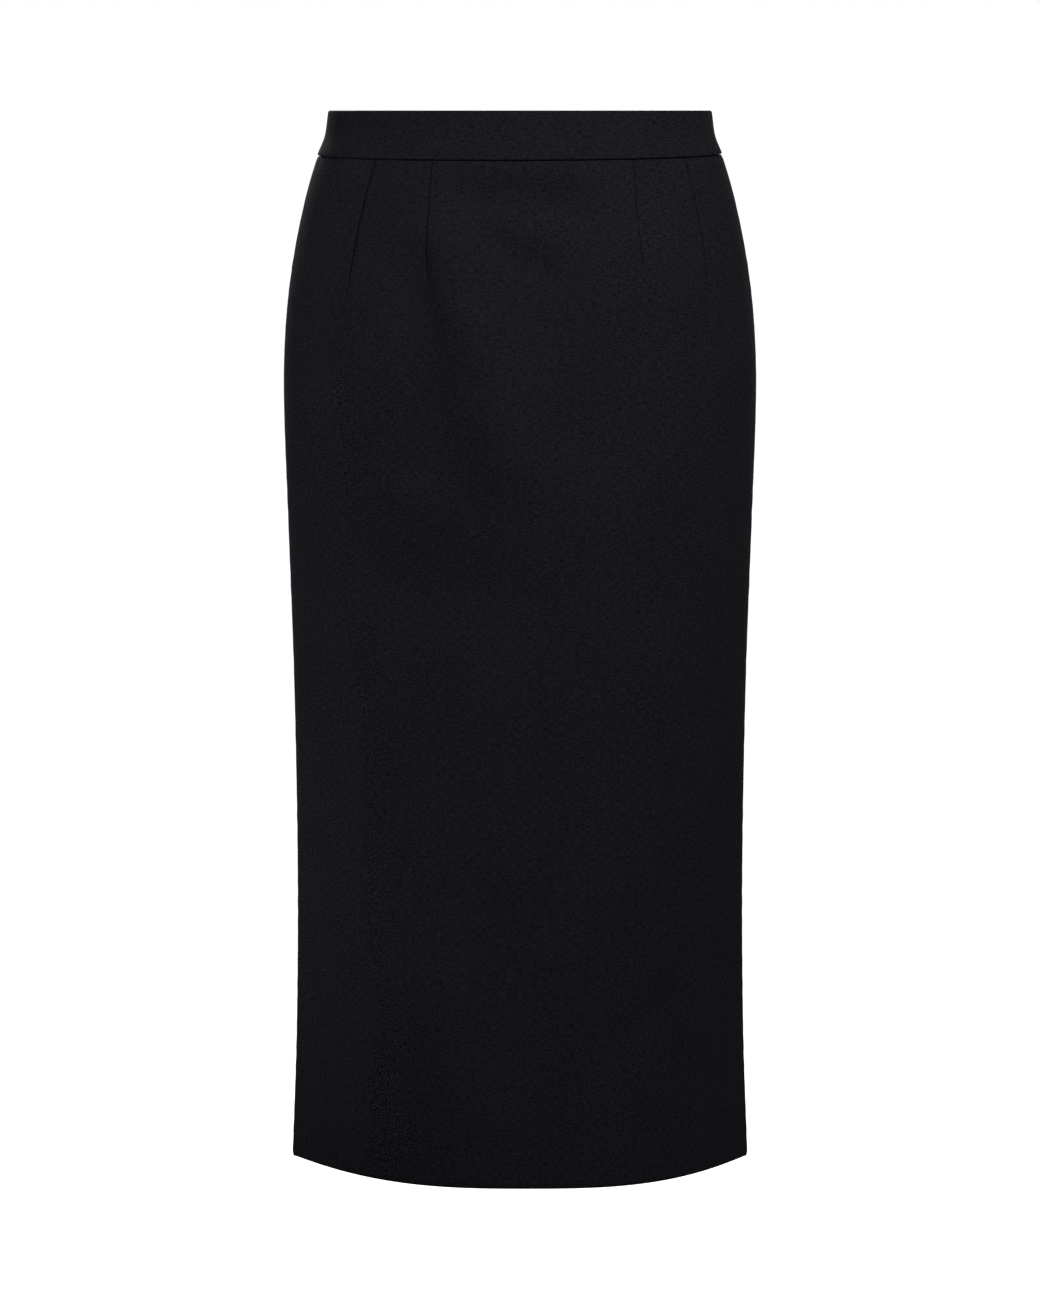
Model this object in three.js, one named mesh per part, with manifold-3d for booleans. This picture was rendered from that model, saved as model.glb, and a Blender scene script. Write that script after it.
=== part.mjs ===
// A pencil skirt, filled out and hollow, open at the waist and at the hem.
//
// Millimetres, +Z up. The origin is the middle of the waist, level with the top edge of the waistband.
// The front faces -Y, and the wearer's left is +X. "down" is the distance below the top edge, and an angle
// runs round the body from the right side seam (-90 degrees) by the middle of the front (0) and the left
// side seam (90) to the middle of the back (180).

import * as THREE from 'three';
import { mergeVertices } from 'three/addons/utils/BufferGeometryUtils.js';
import Module from 'manifold-3d';

const wasm = await Module();
wasm.setup();

// Driving sizes

const LENGTH = 743;        // top edge to hem, down the middle of the front
const CLOTH = 1.6;         // wall of a panel: the crepe and its turned edges
const BAND_CLOTH = 2.5;    // wall of the waistband: two layers and the stay between them
const SEAM_GAP = 0.3;      // clearance between two pieces that are sewn together
const BAND_PROUD = 0.7;    // how far the waistband stands out over the panels
const BAND_SIDE = 30.3;    // height of the waistband at a side seam
const BAND_DIP = 3.2;      // how much taller the band is in the middle of the front and of the back
const BAND_TILT = 0.6;     // how much the waist seam rises towards the wearer's left
const FRONT_TURN = 5.2;    // how far the fullest line of the front lies to the wearer's left

// The horizontal section at some heights: half its width, how far the front and the back reach from the
// origin, how far the side seam lies behind it, and the two powers of its outline, 2 and 0.5 for an ellipse.
// The hem has larger powers, so that front and back meet in a soft edge at the side seams.
const SECTIONS = [
  { down: 0, half: 133.1, front: 96, back: 94, side: 0, square: 2, bulge: 0.5 },
  { down: 18, half: 136, front: 98.5, back: 97.5, side: 0, square: 2, bulge: 0.5 },
  { down: 32, half: 141.4, front: 101, back: 101.5, side: 0, square: 2, bulge: 0.5 },
  { down: 62, half: 150.2, front: 106, back: 111, side: 0, square: 2, bulge: 0.5 },
  { down: 104, half: 158.8, front: 111, back: 125, side: 0, square: 2, bulge: 0.5 },
  { down: 146, half: 163.9, front: 114, back: 136, side: 0, square: 2, bulge: 0.51 },
  { down: 195, half: 165.7, front: 115.5, back: 142, side: 0, square: 2.02, bulge: 0.53 },
  { down: 286, half: 163.1, front: 115, back: 138, side: 1, square: 2.1, bulge: 0.58 },
  { down: 400, half: 159.6, front: 111.5, back: 125, side: 3, square: 2.3, bulge: 0.7 },
  { down: 535, half: 158.0, front: 107.5, back: 113, side: 5.5, square: 2.55, bulge: 0.86 },
  { down: 650, half: 159.4, front: 105, back: 107, side: 7.5, square: 2.75, bulge: 0.98 },
  { down: LENGTH, half: 163, front: 103.8, back: 104, side: 9, square: 2.85, bulge: 1.06 },
];

// Darts: their distance across from the middle at the waist seam and at the point, how far the sewn line bows
// out halfway, and how far down the point lies.
const FRONT_DARTS = [
  { top: -98, point: -118, bow: -2.5, down: 126 },
  { top: -60, point: -62.5, bow: -1.5, down: 119 },
  { top: 77.5, point: 83.5, bow: -1, down: 116 },
  { top: 113, point: 130.5, bow: 2, down: 126 },
];
const BACK_DARTS = [
  { top: 90, point: 100, bow: 1, down: 140 },
  { top: 45, point: 49, bow: 0.5, down: 158 },
];
const DART_GROOVE = 0.7;   // depth of the pressed line of a dart
const DART_FLANK = 1.5;    // half the width of that line

// Soft folds: from one place to another on the cloth, across and down, with the width and the rise of the
// fold. A negative rise is a trough.
const FRONT_FOLDS = [
  { across: -61, down: 112, toAcross: -50, toDown: 205, width: 12, rise: -2.6 },
  { across: -50, down: 205, toAcross: -20, toDown: 242, width: 13, rise: -1.6 },
  { across: -40, down: 90, toAcross: -34, toDown: 160, width: 17, rise: 1.6 },
  { across: -34, down: 160, toAcross: 8, toDown: 222, width: 20, rise: 1.6 },
  { across: -20, down: 72, toAcross: 18, toDown: 92, width: 11, rise: -1.2 },
  { across: -38, down: 50, toAcross: 34, toDown: 50, width: 12, rise: -1.2 },
  { across: 124, down: 120, toAcross: 123, toDown: 205, width: 9, rise: -1.8 },
  { across: 109, down: 80, toAcross: 109, toDown: 205, width: 14, rise: 1.2 },
  { across: -84, down: 150, toAcross: -92, toDown: 260, width: 24, rise: 1.5 },
  { across: -76, down: 266, toAcross: -44, toDown: 312, width: 26, rise: -2 },
  { across: 60, down: 300, toAcross: 74, toDown: 520, width: 34, rise: 1.4 },
  { across: -30, down: 420, toAcross: -66, toDown: 640, width: 36, rise: -1.8 },
  { across: 22, down: 520, toAcross: 30, toDown: 690, width: 32, rise: 1.4 },
];
const BACK_FOLDS = [
  { across: 52, down: 158, toAcross: 40, toDown: 262, width: 15, rise: -1.8 },
  { across: -50, down: 160, toAcross: -62, toDown: 250, width: 13, rise: -1.6 },
  { across: -34, down: 58, toAcross: 36, toDown: 60, width: 12, rise: -1.2 },
  { across: 84, down: 232, toAcross: 22, toDown: 300, width: 17, rise: -2.2 },
  { across: -96, down: 246, toAcross: -30, toDown: 322, width: 19, rise: -2.4 },
  { across: -70, down: 300, toAcross: -22, toDown: 366, width: 22, rise: 1.5 },
  { across: 92, down: 330, toAcross: 66, toDown: 560, width: 34, rise: 1.8 },
  { across: -84, down: 420, toAcross: -58, toDown: 640, width: 32, rise: -1.8 },
  { across: 38, down: 470, toAcross: 44, toDown: 660, width: 30, rise: -1.6 },
];
const FOLD_FADE = 30;      // folds reach their full rise this far below the waist seam
const SIDE_FADE = 8;       // the power of the sine with which folds die out towards the side seams

// The concealed zip at the centre back, and the walking vent at the foot of the same seam
const ZIP_LENGTH = 205;
const TAPE = { half: 13, inner: 0.9, cloth: 1, inset: 2.1, top: 2.5 };
const COIL = { half: 1.7, thick: 1.6, inset: 3.4, top: 14.5, shortBy: 2 };
const SLIDER = { top: 3.2, height: 9, width: 7, footWidth: 4.9, thick: 3.2, inset: 3.4, round: 1.4 };
const LUG = { width: 1.2, hole: 1.15, rim: 0.85, down: 6.6, off: 1.7 };
const PULL = { length: 23, thick: 1.2, bar: 1.2, slotWidth: 2.4, slotLength: 3 };
const PULL_SHOULDER = { half: 2.4, below: 5 };         // the straight sides beside the slot
const PULL_NECK = { half: 1.7, below: 9.5, bend: 7 };  // the narrowest place, and where the curve to it turns
const PULL_FOOT = { radius: 2.8, swell: 7 };           // the round end, and how high its swell begins
const BAND_MOUTH = { half: 1.15, from: 10, to: 25 };   // the band's ends part round the slider's neck
const VENT = { top: 528, lap: 38, under: 10, inset: 1.95, cloth: 1.5, shortBy: 3 };

// How finely the walls are divided
const PANEL_ROWS = [{ to: 255, rows: 14 }, { to: LENGTH, rows: 19 }];
const FRONT_STEPS = [5, 4, 11, 4, 5];
const BACK_STEPS = [4, 3, 4];
const BAND_ROWS = 4;
const BAND_STEPS = 14;

const QUARTER = Math.PI / 2;
const ANGLE_STEP = 0.001;  // the step with which slopes are measured, in radians
const LEAN_STEP = 12;      // and in millimetres, down the band
const PRESS_END = 3;       // a dart's pressed line runs out over its last third
const MERGE = 0.0001;      // points this close are one
const smoothstep = THREE.MathUtils.smoothstep;
const lerp = THREE.MathUtils.lerp;

// Colours of the cloth and of the zip's metal
const crepe = () => new THREE.MeshStandardMaterial({ color: 0x18171a, roughness: 0.86, metalness: 0 });
const tapeCloth = () => new THREE.MeshStandardMaterial({ color: 0x141316, roughness: 0.9, metalness: 0 });
const nylon = () => new THREE.MeshStandardMaterial({ color: 0x101011, roughness: 0.5, metalness: 0 });
const enamel = () => new THREE.MeshStandardMaterial({ color: 0x121213, roughness: 0.35, metalness: 0.6 });

// The value of one column of SECTIONS at a height, on a smooth curve through the rows
function sectionValue(column, down) {
  const rows = SECTIONS;
  const last = rows.length - 2;
  let k = 0;
  while (k < last && down > rows[k + 1].down) k += 1;
  const slope = (i) => {
    const a = rows[Math.max(i - 1, 0)];
    const b = rows[Math.min(i + 1, rows.length - 1)];
    return (b[column] - a[column]) / (b.down - a.down);
  };
  const [a, b] = [rows[k], rows[k + 1]];
  const span = b.down - a.down;
  const t = THREE.MathUtils.clamp((down - a.down) / span, 0, 1);
  const rise = b[column] - a[column];
  const curve = t * t * (3 - 2 * t) * rise;
  const start = t * (1 - t) * (1 - t) * slope(k) * span;
  const finish = t * t * (t - 1) * slope(k + 1) * span;
  return a[column] + curve + start + finish;
}

// How high a point of the cloth stands on the folds of its side
function foldRise(folds, across, down) {
  let rise = 0;
  for (const fold of folds) {
    const from = new THREE.Vector2(fold.across, fold.down);
    const along = new THREE.Vector2(fold.toAcross, fold.toDown).sub(from);
    const offset = new THREE.Vector2(across, down).sub(from);
    const t = THREE.MathUtils.clamp(offset.dot(along) / along.lengthSq(), 0, 1);
    const distance = offset.addScaledVector(along, -t).length();
    rise += fold.rise * Math.exp(-((distance / fold.width) ** 2));
  }
  return rise;
}

// The plain section at a height, inset from the outer face. Front and back each stop half a clearance short
// of the side seam.
function outline(angle, down, inset) {
  const value = (column) => sectionValue(column, down);
  const inFront = Math.cos(angle) >= 0;
  const half = value('half') - inset;
  const turn = inFront ? (FRONT_TURN / half) * Math.cos(angle) : 0;
  const full = (1 - Math.abs(Math.sin(angle)) ** value('square')) ** value('bulge');
  const side = value('side');
  const x = half * Math.sin(angle + turn);
  if (inFront) return new THREE.Vector2(x, side - SEAM_GAP / 2 - (value('front') - inset + side) * full);
  return new THREE.Vector2(x, side + SEAM_GAP / 2 + (value('back') - inset - side) * full);
}

// A point of the cloth: round at an angle, down from the top edge, and inset from the outer face
function clothPoint(angle, down, inset) {
  const flat = outline(angle, down, inset);
  const ahead = outline(angle + ANGLE_STEP, down, inset);
  const behind = outline(angle - ANGLE_STEP, down, inset);
  const outward = new THREE.Vector2(ahead.y - behind.y, behind.x - ahead.x).normalize();
  const folds = Math.cos(angle) >= 0 ? FRONT_FOLDS : BACK_FOLDS;
  const sideFade = 1 - Math.abs(Math.sin(angle)) ** SIDE_FADE;
  const topFade = smoothstep(down, BAND_SIDE + BAND_DIP, BAND_SIDE + BAND_DIP + FOLD_FADE);
  flat.addScaledVector(outward, foldRise(folds, flat.x, down) * sideFade * topFade);
  return new THREE.Vector3(flat.x, flat.y, -down);
}

// How far down the waist seam runs at an angle
function waistSeam(angle) {
  return BAND_SIDE + BAND_DIP * Math.abs(Math.cos(angle)) - BAND_TILT * Math.sin(angle);
}

// The angle of the point that lies so far across, on the front or on the back
function angleAcross(across, down, onBack) {
  const half = sectionValue('half', down);
  const plain = Math.asin(THREE.MathUtils.clamp(across / half, -1, 1));
  if (onBack) return Math.PI - plain;
  return plain - (FRONT_TURN / half) * Math.cos(plain);
}

// A closed wall between an outer and an inner grid of points, which share their columns and rows
function wall(columns, rows, outer, inner) {
  const points = [];
  for (const side of [outer, inner]) {
    for (let i = 0; i <= columns; i += 1) {
      for (let j = 0; j <= rows; j += 1) points.push(side(i, j));
    }
  }
  const count = (columns + 1) * (rows + 1);
  const at = (layer, i, j) => layer * count + i * (rows + 1) + j;
  const faces = [];
  const quad = (a, b, c, d) => faces.push(a, b, c, a, c, d);
  for (let i = 0; i < columns; i += 1) {
    for (let j = 0; j < rows; j += 1) {
      quad(at(0, i, j), at(0, i, j + 1), at(0, i + 1, j + 1), at(0, i + 1, j));
      quad(at(1, i, j), at(1, i + 1, j), at(1, i + 1, j + 1), at(1, i, j + 1));
    }
    quad(at(0, i, 0), at(0, i + 1, 0), at(1, i + 1, 0), at(1, i, 0));
    quad(at(0, i, rows), at(1, i, rows), at(1, i + 1, rows), at(0, i + 1, rows));
  }
  for (let j = 0; j < rows; j += 1) {
    quad(at(0, 0, j), at(1, 0, j), at(1, 0, j + 1), at(0, 0, j + 1));
    quad(at(0, columns, j), at(0, columns, j + 1), at(1, columns, j + 1), at(1, columns, j));
  }
  const geometry = new THREE.BufferGeometry().setFromPoints(points);
  geometry.setIndex(faces);
  return geometry;
}

// A line down a panel: its angle at each height, and how deep it is pressed in
const plainLine = (angle) => ({ angle: () => angle, press: () => 0, flank: 0 });

function edgeLine(across, onBack) {
  return { angle: (down) => angleAcross(across, down, onBack), press: () => 0, flank: 0 };
}

function dartLine(dart, side, onBack) {
  const along = (down) => {
    return THREE.MathUtils.clamp((down - BAND_SIDE) / (dart.down - BAND_SIDE), 0, 1);
  };
  const across = (down) => {
    const t = along(down);
    return side * (lerp(dart.top, dart.point, t) + 4 * dart.bow * t * (1 - t));
  };
  const angle = (down) => angleAcross(across(down), Math.min(down, dart.down), onBack);
  const press = (down) => DART_GROOVE * Math.min(1, PRESS_END * (1 - along(down)));
  return { angle, press, flank: DART_FLANK };
}

// The columns of a panel: its lines, each dart with a flank on both sides, and even steps between them
function panelColumns(lines, steps) {
  const columns = [];
  lines.forEach((line, n) => {
    const shifted = (sign) => (down) => line.angle(down) + (sign * line.flank) / sectionValue('half', down);
    if (line.flank) columns.push({ angle: shifted(-1), press: () => 0 });
    columns.push(line);
    if (line.flank) columns.push({ angle: shifted(1), press: () => 0 });
    const next = lines[n + 1];
    for (let k = 1; next && k < steps[n]; k += 1) {
      const angle = (down) => {
        const half = sectionValue('half', down);
        const from = line.angle(down) + line.flank / half;
        const to = next.angle(down) - next.flank / half;
        return lerp(from, to, k / steps[n]);
      };
      columns.push({ angle, press: () => 0 });
    }
  });
  return columns;
}

// The heights of a panel's rows, at a place where its waist seam is at its mean height
function rowHeights() {
  const heights = [BAND_SIDE];
  for (const stretch of PANEL_ROWS) {
    const from = heights[heights.length - 1];
    for (let k = 1; k <= stretch.rows; k += 1) heights.push(lerp(from, stretch.to, k / stretch.rows));
  }
  return heights;
}

// A panel of the skirt, from the waist seam to the hem
function panel(lines, steps) {
  const columns = panelColumns(lines, steps);
  const heights = rowHeights();
  const face = (inset, pressed) => (i, j) => {
    const share = (LENGTH - heights[j]) / (LENGTH - BAND_SIDE);
    const top = waistSeam(columns[i].angle(BAND_SIDE)) + SEAM_GAP / 2;
    const down = LENGTH - (LENGTH - top) * share;
    const depth = pressed ? columns[i].press(down) : 0;
    return clothPoint(columns[i].angle(down), down, inset + depth);
  };
  return wall(columns.length - 1, heights.length - 1, face(0, true), face(CLOTH, false));
}

// A length of the waistband, from one angle to another. Its end at the centre back stands clear of the zip.
function waistband(from, to) {
  const away = Math.sign(to + from - 4 * QUARTER);
  const face = (inset) => (i, j) => {
    const even = lerp(from, to, i / BAND_STEPS);
    const down = ((waistSeam(even) - SEAM_GAP / 2) * j) / BAND_ROWS;
    const mouth = lerp(BAND_MOUTH.half, SEAM_GAP / 2, smoothstep(down, BAND_MOUTH.from, BAND_MOUTH.to));
    const clear = Math.asin(mouth / sectionValue('half', down));
    const angle = Math.abs(even - 2 * QUARTER) < clear ? 2 * QUARTER + away * clear : even;
    return clothPoint(angle, down, inset - BAND_PROUD);
  };
  return wall(BAND_STEPS, BAND_ROWS, face(0), face(BAND_CLOTH));
}

// A strip at the centre back, under the cloth: between two places across, and two heights
function backStrip({ from, to, top, bottom, inset, thick, columns, rows }) {
  const face = (depth) => (i, j) => {
    const down = lerp(top, bottom, j / rows);
    return clothPoint(angleAcross(lerp(from, to, i / columns), down, true), down, depth);
  };
  return wall(columns, rows, face(inset), face(inset + thick));
}

// Joins overlapping closed shapes into one
function joined(geometries) {
  const solids = geometries.map((geometry) => {
    const bare = geometry.clone();
    bare.deleteAttribute('normal');
    bare.deleteAttribute('uv');
    const merged = mergeVertices(bare, MERGE);
    const vertProperties = new Float32Array(merged.attributes.position.array);
    const triVerts = new Uint32Array(merged.index.array);
    return new wasm.Manifold(new wasm.Mesh({ numProp: 3, vertProperties, triVerts }));
  });
  const mesh = solids.reduce((a, b) => a.add(b)).getMesh();
  const geometry = new THREE.BufferGeometry();
  geometry.setAttribute('position', new THREE.BufferAttribute(new Float32Array(mesh.vertProperties), 3));
  geometry.setIndex(Array.from(mesh.triVerts));
  return geometry;
}

// The plane of the band at the zip: a point of its outer face, and how far it leans back on the way down
function bandBack(down) {
  const here = clothPoint(Math.PI, down, -BAND_PROUD);
  const lower = clothPoint(Math.PI, down + LEAN_STEP, -BAND_PROUD);
  return { y: here.y, lean: Math.atan2(lower.y - here.y, here.z - lower.z) };
}

// The slider behind the band, and the lug that its neck carries through to the outside
function sliderGeometry() {
  const { lean } = bandBack(LUG.down);
  const bodyShape = new THREE.Shape();
  const r = SLIDER.round;
  const shoulder = SLIDER.width / 2 - r;
  const foot = SLIDER.footWidth / 2 - r;
  const rise = SLIDER.height / 2 - r;
  bodyShape.absarc(shoulder, rise, r, 0, QUARTER);
  bodyShape.absarc(-shoulder, rise, r, QUARTER, 2 * QUARTER);
  bodyShape.absarc(-foot, -rise, r, 2 * QUARTER, 3 * QUARTER);
  bodyShape.absarc(foot, -rise, r, 3 * QUARTER, 4 * QUARTER);
  const bodyOptions = { depth: SLIDER.thick, bevelEnabled: false, curveSegments: 5 };
  const body = new THREE.ExtrudeGeometry(bodyShape, bodyOptions);
  const middle = SLIDER.top + SLIDER.height / 2;
  body.rotateX(QUARTER);
  body.translate(0, -SLIDER.inset - BAND_PROUD - LUG.off, LUG.down - middle);

  const lugShape = new THREE.Shape();
  const reach = LUG.hole + LUG.rim;
  const root = SLIDER.inset + BAND_PROUD + LUG.off + SLIDER.thick / 2;
  lugShape.moveTo(-root, -reach);
  lugShape.lineTo(0, -reach);
  lugShape.absarc(0, 0, reach, -QUARTER, QUARTER);
  lugShape.lineTo(-root, reach);
  const hole = new THREE.Path().absarc(0, 0, LUG.hole, 0, 4 * QUARTER, true);
  lugShape.holes.push(hole);
  const lugOptions = { depth: LUG.width, bevelEnabled: false, curveSegments: 10 };
  const lug = new THREE.ExtrudeGeometry(lugShape, lugOptions);
  lug.translate(0, 0, -LUG.width / 2);
  lug.applyMatrix4(new THREE.Matrix4().makeBasis(
    new THREE.Vector3(0, 1, 0),
    new THREE.Vector3(0, 0, 1),
    new THREE.Vector3(1, 0, 0),
  ));
  const geometry = joined([body, lug]);
  geometry.rotateX(lean);
  return geometry;
}

// The pull tab hangs from a bar that runs through the lug's hole
function pullGeometry() {
  const top = PULL.bar / 2;
  const shoulder = top - PULL_SHOULDER.below;
  const bend = top - PULL_NECK.bend;
  const neck = top - PULL_NECK.below;
  const foot = top - PULL.length;
  const round = foot + PULL_FOOT.radius;
  const swell = foot + PULL_FOOT.swell;
  const shape = new THREE.Shape();
  shape.moveTo(-PULL_SHOULDER.half, top);
  shape.lineTo(-PULL_SHOULDER.half, shoulder);
  shape.quadraticCurveTo(-PULL_NECK.half, bend, -PULL_NECK.half, neck);
  shape.quadraticCurveTo(-PULL_FOOT.radius, swell, -PULL_FOOT.radius, round);
  shape.absarc(0, round, PULL_FOOT.radius, 2 * QUARTER, 4 * QUARTER);
  shape.quadraticCurveTo(PULL_FOOT.radius, swell, PULL_NECK.half, neck);
  shape.quadraticCurveTo(PULL_NECK.half, bend, PULL_SHOULDER.half, shoulder);
  shape.lineTo(PULL_SHOULDER.half, top);
  const slot = new THREE.Path();
  const slotTop = top - PULL.bar;
  slot.moveTo(-PULL.slotWidth / 2, slotTop);
  slot.lineTo(PULL.slotWidth / 2, slotTop);
  slot.lineTo(PULL.slotWidth / 2, slotTop - PULL.slotLength);
  slot.lineTo(-PULL.slotWidth / 2, slotTop - PULL.slotLength);
  shape.holes.push(slot);
  const tab = new THREE.ExtrudeGeometry(shape, { depth: PULL.thick, bevelEnabled: false, curveSegments: 6 });
  tab.translate(0, 0, -PULL.thick / 2);
  tab.rotateX(QUARTER);
  tab.rotateX(bandBack(LUG.down).lean);
  return tab;
}

// The skirt

const skirt = new THREE.Group();

function addPiece(name, geometry, material) {
  const mesh = new THREE.Mesh(geometry, material);
  mesh.name = name;
  skirt.add(mesh);
  return mesh;
}

const sideRight = plainLine(-QUARTER);
const sideLeft = plainLine(QUARTER);
const sideRightBack = plainLine(3 * QUARTER);
const backEdge = SEAM_GAP / 2;
const frontDarts = FRONT_DARTS.map((dart) => dartLine(dart, 1, false));
const leftDarts = BACK_DARTS.map((dart) => dartLine(dart, 1, true));
const rightDarts = BACK_DARTS.map((dart) => dartLine(dart, -1, true)).reverse();

addPiece('front_panel', panel([sideRight, ...frontDarts, sideLeft], FRONT_STEPS), crepe());
addPiece('back_panel_left', panel([sideLeft, ...leftDarts, edgeLine(backEdge, true)], BACK_STEPS), crepe());
addPiece(
  'back_panel_right',
  panel([edgeLine(-backEdge, true), ...rightDarts, sideRightBack], [...BACK_STEPS].reverse()),
  crepe(),
);
addPiece('waistband_front', waistband(-QUARTER, QUARTER), crepe());
addPiece('waistband_back_left', waistband(QUARTER, 2 * QUARTER), crepe());
addPiece('waistband_back_right', waistband(2 * QUARTER, 3 * QUARTER), crepe());

addPiece('vent_underlap', backStrip({
  from: VENT.under,
  to: -VENT.lap,
  top: VENT.top,
  bottom: LENGTH - VENT.shortBy,
  inset: VENT.inset,
  thick: VENT.cloth,
  columns: 5,
  rows: 9,
}), crepe());

for (const [name, side] of [['zip_tape_left', 1], ['zip_tape_right', -1]]) {
  const across = [TAPE.inner, TAPE.half].map((distance) => side * distance);
  if (side > 0) across.reverse();
  addPiece(name, backStrip({
    from: across[0],
    to: across[1],
    top: TAPE.top,
    bottom: ZIP_LENGTH,
    inset: TAPE.inset,
    thick: TAPE.cloth,
    columns: 2,
    rows: 12,
  }), tapeCloth());
}

addPiece('zip_coil', backStrip({
  from: COIL.half,
  to: -COIL.half,
  top: COIL.top,
  bottom: ZIP_LENGTH - COIL.shortBy,
  inset: COIL.inset,
  thick: COIL.thick,
  columns: 2,
  rows: 12,
}), nylon());

const lugPlace = new THREE.Vector3(0, bandBack(LUG.down).y + LUG.off, -LUG.down);
addPiece('zip_slider', sliderGeometry(), enamel()).position.copy(lugPlace);
addPiece('zip_pull', pullGeometry(), enamel()).position.copy(lugPlace);

export default skirt;
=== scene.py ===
import math

import bmesh
import bpy
import numpy as np
from mathutils import Matrix, Vector


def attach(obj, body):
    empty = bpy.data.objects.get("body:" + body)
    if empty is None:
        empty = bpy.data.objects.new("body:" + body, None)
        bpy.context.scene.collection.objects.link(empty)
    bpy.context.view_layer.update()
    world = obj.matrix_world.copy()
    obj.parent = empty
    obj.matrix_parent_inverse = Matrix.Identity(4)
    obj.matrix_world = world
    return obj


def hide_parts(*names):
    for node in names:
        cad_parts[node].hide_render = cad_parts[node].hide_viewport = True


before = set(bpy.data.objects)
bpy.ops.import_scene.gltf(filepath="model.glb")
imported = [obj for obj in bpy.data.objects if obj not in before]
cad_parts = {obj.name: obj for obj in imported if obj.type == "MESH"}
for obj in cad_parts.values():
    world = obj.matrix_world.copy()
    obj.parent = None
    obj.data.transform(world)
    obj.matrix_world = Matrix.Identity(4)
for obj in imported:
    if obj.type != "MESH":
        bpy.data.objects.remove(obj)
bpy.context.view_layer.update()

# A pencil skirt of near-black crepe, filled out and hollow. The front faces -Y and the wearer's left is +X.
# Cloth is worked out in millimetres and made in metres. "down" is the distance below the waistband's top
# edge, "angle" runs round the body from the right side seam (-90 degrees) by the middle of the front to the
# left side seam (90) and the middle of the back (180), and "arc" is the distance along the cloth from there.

MM = 0.001
QUARTER = math.pi / 2

# The cut
LENGTH = 743.0
BAND_CLOTH = 2.5
BAND_PROUD = 0.5
BAND_SIDE = 30.3
BAND_DIP = 3.2
BAND_TILT = 0.6
FRONT_TURN = 5.2

# The horizontal section at some heights: half its width, the reach of the front and of the back, how far the
# side seam lies back, and the two powers of its outline
SECTION_COLUMNS = ("down", "half", "front", "back", "side", "square", "bulge")
SECTIONS = (
    (0, 133.1, 96, 94, 0, 2, 0.5),
    (18, 136, 98.5, 97.5, 0, 2, 0.5),
    (32, 141.4, 101, 101.5, 0, 2, 0.5),
    (62, 150.2, 106, 111, 0, 2, 0.5),
    (104, 158.8, 111, 125, 0, 2, 0.5),
    (146, 163.9, 114, 136, 0, 2, 0.51),
    (195, 165.7, 115.5, 142, 0, 2.02, 0.53),
    (286, 163.1, 115, 138, 1, 2.1, 0.58),
    (400, 159.6, 111.5, 125, 3, 2.3, 0.7),
    (535, 158.0, 107.5, 113, 5.5, 2.55, 0.86),
    (650, 159.4, 105, 107, 7.5, 2.75, 0.98),
    (LENGTH, 163, 103.8, 104, 9, 2.85, 1.06),
)

# Darts: the distance across at the waist seam and at the point, the bow between them, the point's height,
# and how deeply the seam is pressed in
FRONT_DARTS = (
    {"top": -98, "point": -118, "bow": -2.5, "down": 126, "press": 2.0},
    {"top": -60, "point": -62.5, "bow": -1.5, "down": 119, "press": 1.25},
    {"top": 77.5, "point": 83.5, "bow": -1, "down": 116, "press": 1.2},
    {"top": 113, "point": 130.5, "bow": 2, "down": 126, "press": 3.0},
)
BACK_DARTS = (
    {"top": 90, "point": 100, "bow": 1, "down": 140, "press": 1.8},
    {"top": 45, "point": 49, "bow": 0.5, "down": 158, "press": 1.5},
)

# Soft folds: from one place to another, across and down, with a bow between them, the reach of the fold on
# each side of its line, how much wider it grows, and its rise
FOLD_COLUMNS = ("across", "down", "to_across", "to_down", "bow", "upper", "lower", "grow", "rise")
FRONT_FOLDS = (
    (-50, 96, -14, 232, -4, 21, 22, 1.25, 7.0),
    (-65.5, 98, -60, 146, 0, 5, 12, 1.6, -2.2),
    (12, 140, 32, 214, 0, 32, 24, 1, -4.2),
    (98, 88, 105, 240, 0, 12, 30, 1.7, 3.8),
    (130, 110, 127.5, 164, 0, 2.4, 2.8, 1.6, -2.2),
    (-26, 146, -8, 206, 0, 13, 20, 1, 2.8),
    (-30, 62, 32, 66, 0, 20, 12, 1, -5.0),
    (-24, 84, 16, 108, 0, 11, 12, 1, -3.8),
    (-96, 128, -94, 205, 0, 18, 20, 1, 2.4),
    (-84, 262, -42, 276, 2, 18, 15, 1, 2.8),
    (-92, 322, -20, 328, -3, 26, 34, 1, -4.2),
    (60, 300, 74, 520, 0, 34, 34, 1, 1.6),
    (-62, 604, -30, 690, 0, 30, 34, 1, 2.8),
    (64, 644, 103, 614, 0, 16, 16, 1, -2.0),
    (22, 520, 30, 600, 0, 32, 32, 1, 1.4),
)
BACK_FOLDS = (
    (49, 150, 36, 262, 3, 14, 18, 1.5, -3.4),
    (-50, 150, -66, 246, -2, 12, 18, 1.4, 3.6),
    (-36, 60, 34, 63, 0, 12, 12, 1, -2.4),
    (92, 226, 20, 306, 3, 17, 20, 1.2, -3.4),
    (-98, 240, -26, 330, -3, 20, 22, 1.2, -3.2),
    (-78, 306, -22, 370, 0, 24, 24, 1, 2.2),
    (94, 330, 64, 560, 4, 32, 32, 1, 2.4),
    (-88, 420, -58, 640, 0, 30, 32, 1, -2.4),
    (40, 470, 46, 660, 0, 28, 28, 1, -2.0),
)
FOLD_FADE = 22
SIDE_FADE = 8

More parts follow.
